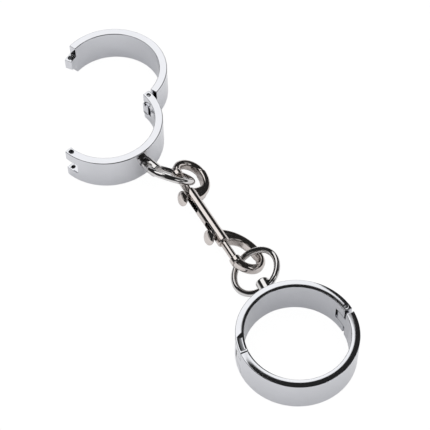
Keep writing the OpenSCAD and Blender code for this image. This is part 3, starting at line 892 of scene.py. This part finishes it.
# named points of the photograph's frame: edges of the object or of a piece (axis, which end,
# place), and spots at a known place on a piece
FRAME_WIDE, FRAME_HIGH = 430, 430
EDGES = {
    "object left": (None, 0, min, 65.0),
    "object right": (None, 0, max, 360.5),
    "object top": (None, 1, min, 27.8),
    "object bottom": (None, 1, max, 407.6),
    "ring A left": ("cuff_a_ring", 0, min, 231.8),
    "ring A right": ("cuff_a_ring", 0, max, 280.0),
    "snap top": ("snap_body", 1, min, 159.6),
    "snap bottom": ("snap_body", 1, max, 274.5),
    "snap right": ("snap_body", 0, max, 265.0),
}
CAMERA = {"azimuth": -24.4, "elevation": 54.21, "roll": -0.59, "distance": 866.9,
          "target": (-1.35, 107.06, 0.0), "lens": 119.01}

# how much of the white beyond the camera sees through the paper, and the soft lamp over it
CLEAR_SHARE = 0.93
LAMP = {"watts": 2.5, "side": 1.0, "tilt": -25, "place": (0, 0.1, 1.4)}

# white cards round the studio, by direction in degrees: azimuth from +Y towards +X, elevation,
# half widths, slope of the card's top and bottom, brightness
CARDS = (
    (-6, 52.9, 40.5, 17.5, -0.31, 1.35),
    (-120, 20, 12, 25, 0, 0.3),
    (-70, 3, 18, 7, 0, 0.45),
    (118, 20, 9, 8, 0, 0.8),
    (146, 36, 13, 12, 0, 1.1),
    (90, 30, 14, 9, 0, 0.22),
)
CARD_EDGE = 0.6
# strengths of the dark walls, of the even light, and of the white that the camera sees
DARK, EVEN, WHITE = 0.025, 0.95, 1.03


def photo_camera():
    """A camera where the photograph's was."""
    a, e = (math.radians(CAMERA[k]) for k in ("azimuth", "elevation"))
    back = Vector((math.sin(a) * math.cos(e), -math.cos(a) * math.cos(e), math.sin(e)))
    right = Vector((math.cos(a), math.sin(a), 0))
    up = back.cross(right)
    target = Vector(CAMERA["target"]) * MM
    place = Matrix((right, up, back)).transposed().to_4x4()
    place.translation = target + back * CAMERA["distance"] * MM
    data = bpy.data.cameras.new("photo_camera")
    data.lens, data.sensor_width, data.sensor_fit = CAMERA["lens"], 36, "AUTO"
    made = bpy.data.objects.new("photo_camera", data)
    made.matrix_world = place @ turn(math.radians(CAMERA["roll"]), "Z")
    bpy.context.scene.collection.objects.link(made)
    bpy.context.scene.camera = made


def in_picture(camera, point):
    """Where a point of the scene lands in the photograph's frame."""
    seen = camera.matrix_world.inverted() @ point
    data, longer = camera.data, max(FRAME_WIDE, FRAME_HIGH)
    scale = longer * data.lens / data.sensor_width / -seen.z
    return (FRAME_WIDE / 2 - data.shift_x * longer + scale * seen.x,
            FRAME_HIGH / 2 + data.shift_y * longer - scale * seen.y)


def shown_points(camera, pieces):
    """The picture points of every piece's vertices that nothing hides from the camera."""
    verts, faces = [], []
    for piece in pieces:
        first = len(verts)
        verts += [v.co.copy() for v in piece.data.vertices]
        faces += [[first + i for i in f.vertices] for f in piece.data.polygons]
    tree = BVHTree.FromPolygons(verts, faces)
    eye, clear = camera.matrix_world.translation, 0.05 * MM
    shown = {}
    for piece in pieces:
        points = shown[piece["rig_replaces"][0]] = []
        for vert in piece.data.vertices:
            way = (eye - vert.co).normalized()
            if tree.ray_cast(vert.co + way * clear, way)[0] is None:
                points.append(in_picture(camera, vert.co))
    return shown


def write_points(cuff, d):
    """Works out how far each thing shows from its named point of the photograph's frame, without
    writing it anywhere.
    """
    camera = bpy.context.scene.camera
    pieces = [o for o in bpy.data.objects if o.type == "MESH" and o.get("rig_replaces")]
    shown = shown_points(camera, pieces)
    everything = [p for points in shown.values() for p in points]
    joint = d.post_dir - (d.ear_end + d.lock_shoulder) / 2
    recess = d.post_dir - d.ear_end + d.along(cuff.recess_end + cuff.recess_l / 2)
    sunk = d.top - cuff.pin_sunk
    spots = {
        "hinge pin A": d.cuff_a @ d.on_band(d.hinge_dir, -sunk),
        "hinge pin B": d.cuff_b @ d.on_band(d.hinge_dir, sunk),
        "lock joint A": d.cuff_a @ d.on_band(joint, -d.top),
        "lock recess A": d.cuff_a @ d.on_band(recess, cuff.recess_depth - d.top),
        "lock hole B": d.cuff_b @ d.on_band(d.lock_dir, d.top),
        "tongue hole B": d.gate_b @ d.on_band(d.lock_dir, cuff.tongue_h / 2),
    }
    for name, (piece, axis, end, place) in EDGES.items():
        points = everything if piece is None else shown[piece]
        off = round(end(p[axis] for p in points) - place, 2)


def studio_world():
    """White to the camera, even light on the floor, dark walls with white cards to the metal."""
    world = bpy.data.worlds.new("studio")
    bpy.context.scene.world = world
    world.use_nodes = True
    tree = world.node_tree
    tree.nodes.clear()
    way = node(tree, "ShaderNodeTexCoord").outputs["Generated"]
    axis = node(tree, "ShaderNodeSeparateXYZ", {"Vector": way}).outputs
    azimuth = node(tree, "ShaderNodeMath", {0: axis["X"], 1: axis["Y"]}, operation="ARCTAN2")
    elevation = node(tree, "ShaderNodeMath", {0: axis["Z"]}, operation="ARCSINE")
    light = DARK
    for az, el, wide, high, slope, bright in CARDS:
        off = node(tree, "ShaderNodeMath", {0: azimuth.outputs[0], 1: math.radians(az)},
                   operation="SUBTRACT")
        along = node(tree, "ShaderNodeMath", {0: off.outputs[0], 1: math.pi, 2: -math.pi},
                     operation="WRAP")
        middle = node(tree, "ShaderNodeMath", {0: along.outputs[0], 1: slope, 2: math.radians(el)},
                      operation="MULTIPLY_ADD")
        rise = node(tree, "ShaderNodeMath", {0: elevation.outputs[0], 1: middle.outputs[0]},
                    operation="SUBTRACT")
        card = bright
        for apart, half in ((along, wide), (rise, high)):
            off = node(tree, "ShaderNodeMath", {0: apart.outputs[0]}, operation="ABSOLUTE")
            inside = node(tree, "ShaderNodeMapRange", {
                "Value": off.outputs[0], "From Min": math.radians(half - CARD_EDGE),
                "From Max": math.radians(half + CARD_EDGE), "To Min": 1.0, "To Max": 0.0},
                interpolation_type="SMOOTHSTEP")
            card = node(tree, "ShaderNodeMath", {0: inside.outputs[0], 1: card},
                        operation="MULTIPLY").outputs[0]
        light = node(tree, "ShaderNodeMath", {0: card, 1: light}, operation="MAXIMUM").outputs[0]
    # below the horizon the metal sees paper
    below = node(tree, "ShaderNodeMath", {0: axis["Z"], 1: 0.0}, operation="LESS_THAN")
    light = node(tree, "ShaderNodeMath", {0: below.outputs[0], 1: light}, operation="MAXIMUM")
    studio = node(tree, "ShaderNodeBackground", {"Color": (1, 1, 1, 1),
                                                 "Strength": light.outputs[0]})
    # the camera sees bare white
    path = node(tree, "ShaderNodeLightPath").outputs
    white = node(tree, "ShaderNodeMath", {0: path["Is Camera Ray"], 1: WHITE - EVEN, 2: EVEN},
                 operation="MULTIPLY_ADD")
    even = node(tree, "ShaderNodeBackground", {"Color": (1, 1, 1, 1),
                                               "Strength": white.outputs[0]})
    # the metal shows the cards, but light that has met the paper is even again
    fresh = node(tree, "ShaderNodeMath", {0: path["Diffuse Depth"], 1: 0.5}, operation="LESS_THAN")
    seen = node(tree, "ShaderNodeMath", {0: path["Is Glossy Ray"], 1: fresh.outputs[0]},
                operation="MULTIPLY")
    mixed = node(tree, "ShaderNodeMixShader", {0: seen.outputs[0], 1: even.outputs[0],
                                               2: studio.outputs[0]})
    node(tree, "ShaderNodeOutputWorld", {"Surface": mixed.outputs[0]})


class CUFFS_OT_stage(Operator):
    """Makes the paper floor, the soft light, the studio's surroundings and the camera"""
    bl_idname = "cuffs.stage"
    bl_label = "Stage"

    def execute(self, context):
        made, tree, output = new_material("matt_white_paper")
        where = node(tree, "ShaderNodeTexCoord").outputs["Object"]
        # the sheet isn't quite even
        uneven = node(tree, "ShaderNodeTexNoise", {"Vector": where, "Scale": 1 / (2.5 * MM),
                                                   "Detail": 3.0})
        bump = node(tree, "ShaderNodeBump", {"Height": uneven.outputs["Fac"], "Strength": 0.05,
                                             "Distance": 0.1 * MM})
        paper = node(tree, "ShaderNodeBsdfPrincipled", {
            "Base Color": (*context.scene.finish.paper, 1), "Roughness": 0.9,
            "Specular IOR Level": 0.0, "Normal": bump.outputs["Normal"]})
        # the camera sees mostly the bare white beyond, with a trace of the object's soft shadow,
        # and the underside lets everything through, so a piece that swings below still shows
        path = node(tree, "ShaderNodeLightPath").outputs
        share = node(tree, "ShaderNodeMath", {0: path["Is Camera Ray"], 1: CLEAR_SHARE},
                     operation="MULTIPLY")
        under = node(tree, "ShaderNodeNewGeometry").outputs["Backfacing"]
        share = node(tree, "ShaderNodeMath", {0: share.outputs[0], 1: under}, operation="MAXIMUM")
        clear = node(tree, "ShaderNodeBsdfTransparent")
        mixed = node(tree, "ShaderNodeMixShader", {0: share.outputs[0], 1: paper.outputs[0],
                                                   2: clear.outputs[0]})
        tree.links.new(mixed.outputs[0], output.inputs["Surface"])
        bm = bmesh.new()
        bmesh.ops.create_grid(bm, x_segments=4, y_segments=4, size=3)
        floor = shell("floor", bm)
        floor.data.materials.append(made)
        lamp = bpy.data.lights.new("soft_box", "AREA")
        lamp.shape, lamp.size, lamp.energy = "SQUARE", LAMP["side"], LAMP["watts"]
        box = bpy.data.objects.new("soft_box", lamp)
        box.matrix_world = turn(math.radians(LAMP["tilt"]), "X") @ move(*LAMP["place"])
        box.visible_glossy = False
        context.scene.collection.objects.link(box)
        studio_world()
        photo_camera()
        context.view_layer.update()
        context.scene.view_settings.view_transform = "Standard"
        cuff, _, _, d = sizes(context)
        write_points(cuff, d)
        return {"FINISHED"}


class CUFFS_PT_panel(Panel):
    """Lists the operators, sizes and colours"""
    bl_idname = "CUFFS_PT_panel"
    bl_label = "Handcuffs"
    bl_space_type = "VIEW_3D"
    bl_region_type = "UI"
    bl_category = "Handcuffs"

    def draw(self, context):
        for operator in OPERATORS:
            self.layout.operator(operator.bl_idname)
        for name in ("cuff_sizes", "link_sizes", "snap_sizes", "finish"):
            group = getattr(context.scene, name)
            column = self.layout.column()
            for key in group.__annotations__:
                column.prop(group, key)


GROUPS = {"cuff_sizes": CuffSizes, "link_sizes": LinkSizes, "snap_sizes": SnapSizes,
          "finish": Finish}
OPERATORS = (CUFFS_OT_bands, CUFFS_OT_pins, CUFFS_OT_posts, CUFFS_OT_rings,
             CUFFS_OT_snap_body, CUFFS_OT_bolts, CUFFS_OT_stage)


def register():
    for made in (*GROUPS.values(), *OPERATORS, CUFFS_PT_panel):
        bpy.utils.register_class(made)
    for name, group in GROUPS.items():
        setattr(bpy.types.Scene, name, PointerProperty(type=group))


def unregister():
    for name in GROUPS:
        delattr(bpy.types.Scene, name)
    for made in (CUFFS_PT_panel, *reversed(OPERATORS), *reversed(GROUPS.values())):
        bpy.utils.unregister_class(made)


def main():
    register()
    bpy.ops.cuffs.bands()
    bpy.ops.cuffs.pins()
    bpy.ops.cuffs.posts()
    bpy.ops.cuffs.rings()
    bpy.ops.cuffs.snap_body()
    bpy.ops.cuffs.bolts()
    bpy.ops.cuffs.stage()


if __name__ == "__main__":
    main()
